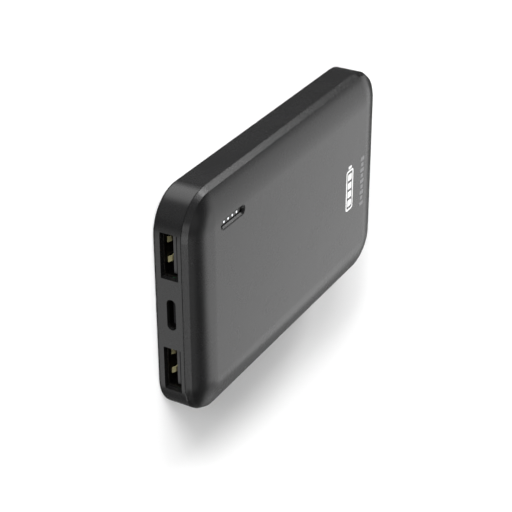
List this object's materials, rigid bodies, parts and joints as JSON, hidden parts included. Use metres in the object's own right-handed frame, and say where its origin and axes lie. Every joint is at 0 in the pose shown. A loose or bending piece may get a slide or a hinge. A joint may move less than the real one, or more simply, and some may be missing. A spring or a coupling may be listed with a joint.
{
  "type": "power bank",
  "caption": "Slim rectangular power bank with rounded corners, USB sockets on one short end and a recessed button with charge lights on the front.",
  "frame": {"origin": "centre of the flat back, which lies on the table", "axes": "+X across the width, away from the button's side; +Y along the length, away from the sockets; +Z out of the front face"},
  "size_m": [0.0662, 0.109, 0.0127],
  "materials": {
    "back_shell_plastic": "satin",
    "front_cover_plastic": "satin",
    "button_plastic": "satin",
    "light_guide": "translucent white",
    "switch_plastic": "matte",
    "switch_plunger": "gloss",
    "board_laminate": "solder mask",
    "led_package": "gloss",
    "baffle_plastic": "matte",
    "socket_steel": "tin plated",
    "socket_plastic": "moulded",
    "contact_metal": "gold flash",
    "ferrite": "matt",
    "copper": "tinned copper",
    "chip_epoxy": "matte",
    "capacitor_ceramic": "matt",
    "resistor_ceramic": "matt",
    "pouch_foil": "laminated foil",
    "tab_nickel": "bright",
    "amber_tape": "polyimide",
    "adhesive_film": "matt",
    "foam": "closed-cell foam",
    "screw_steel": "zinc plated"
  },
  "bodies": {
    "case": {"rear_cover": "back_shell_plastic", "front_cover": "front_cover_plastic", "switch_body": "switch_plastic", "main_board": "board_laminate", "indicator_leds": "led_package", "led_baffle": "baffle_plastic", "usb_a_left_shell": "socket_steel", "usb_a_left_insulator": "socket_plastic", "usb_a_left_contacts": "contact_metal", "usb_a_right_shell": "socket_steel", "usb_a_right_insulator": "socket_plastic", "usb_a_right_contacts": "contact_metal", "usb_c_shell": "socket_steel", "usb_c_insulator": "socket_plastic", "usb_c_contacts": "contact_metal", "power_inductor": "ferrite", "inductor_winding_ends": "copper", "controller_ic": "chip_epoxy", "protection_ics": "chip_epoxy", "ceramic_capacitors": "capacitor_ceramic", "chip_resistors": "resistor_ceramic", "battery_cell": "pouch_foil", "cell_tabs": "tab_nickel", "terrace_tape": "amber_tape", "cell_adhesive": "adhesive_film", "foam_pad": "foam", "board_screws": "screw_steel"},
    "button": {"button_cap": "button_plastic", "button_light_guide": "light_guide"},
    "plunger": {"switch_plunger": "switch_plunger"}
  },
  "joints": [
    {"name": "button_press", "type": "slide", "parent": "case", "child": "button", "axis": [0, 0, -1], "range_m": [0, 0.0003], "stiffness_N_per_m": 1500, "springref_m": -0.0003},
    {"name": "plunger_press", "type": "slide", "parent": "case", "child": "plunger", "axis": [0, 0, -1], "range_m": [0, 0.0003]}
  ],
  "couplings": [
    {"joint": "plunger_press", "follows": "button_press", "ratio": 1}
  ]
}
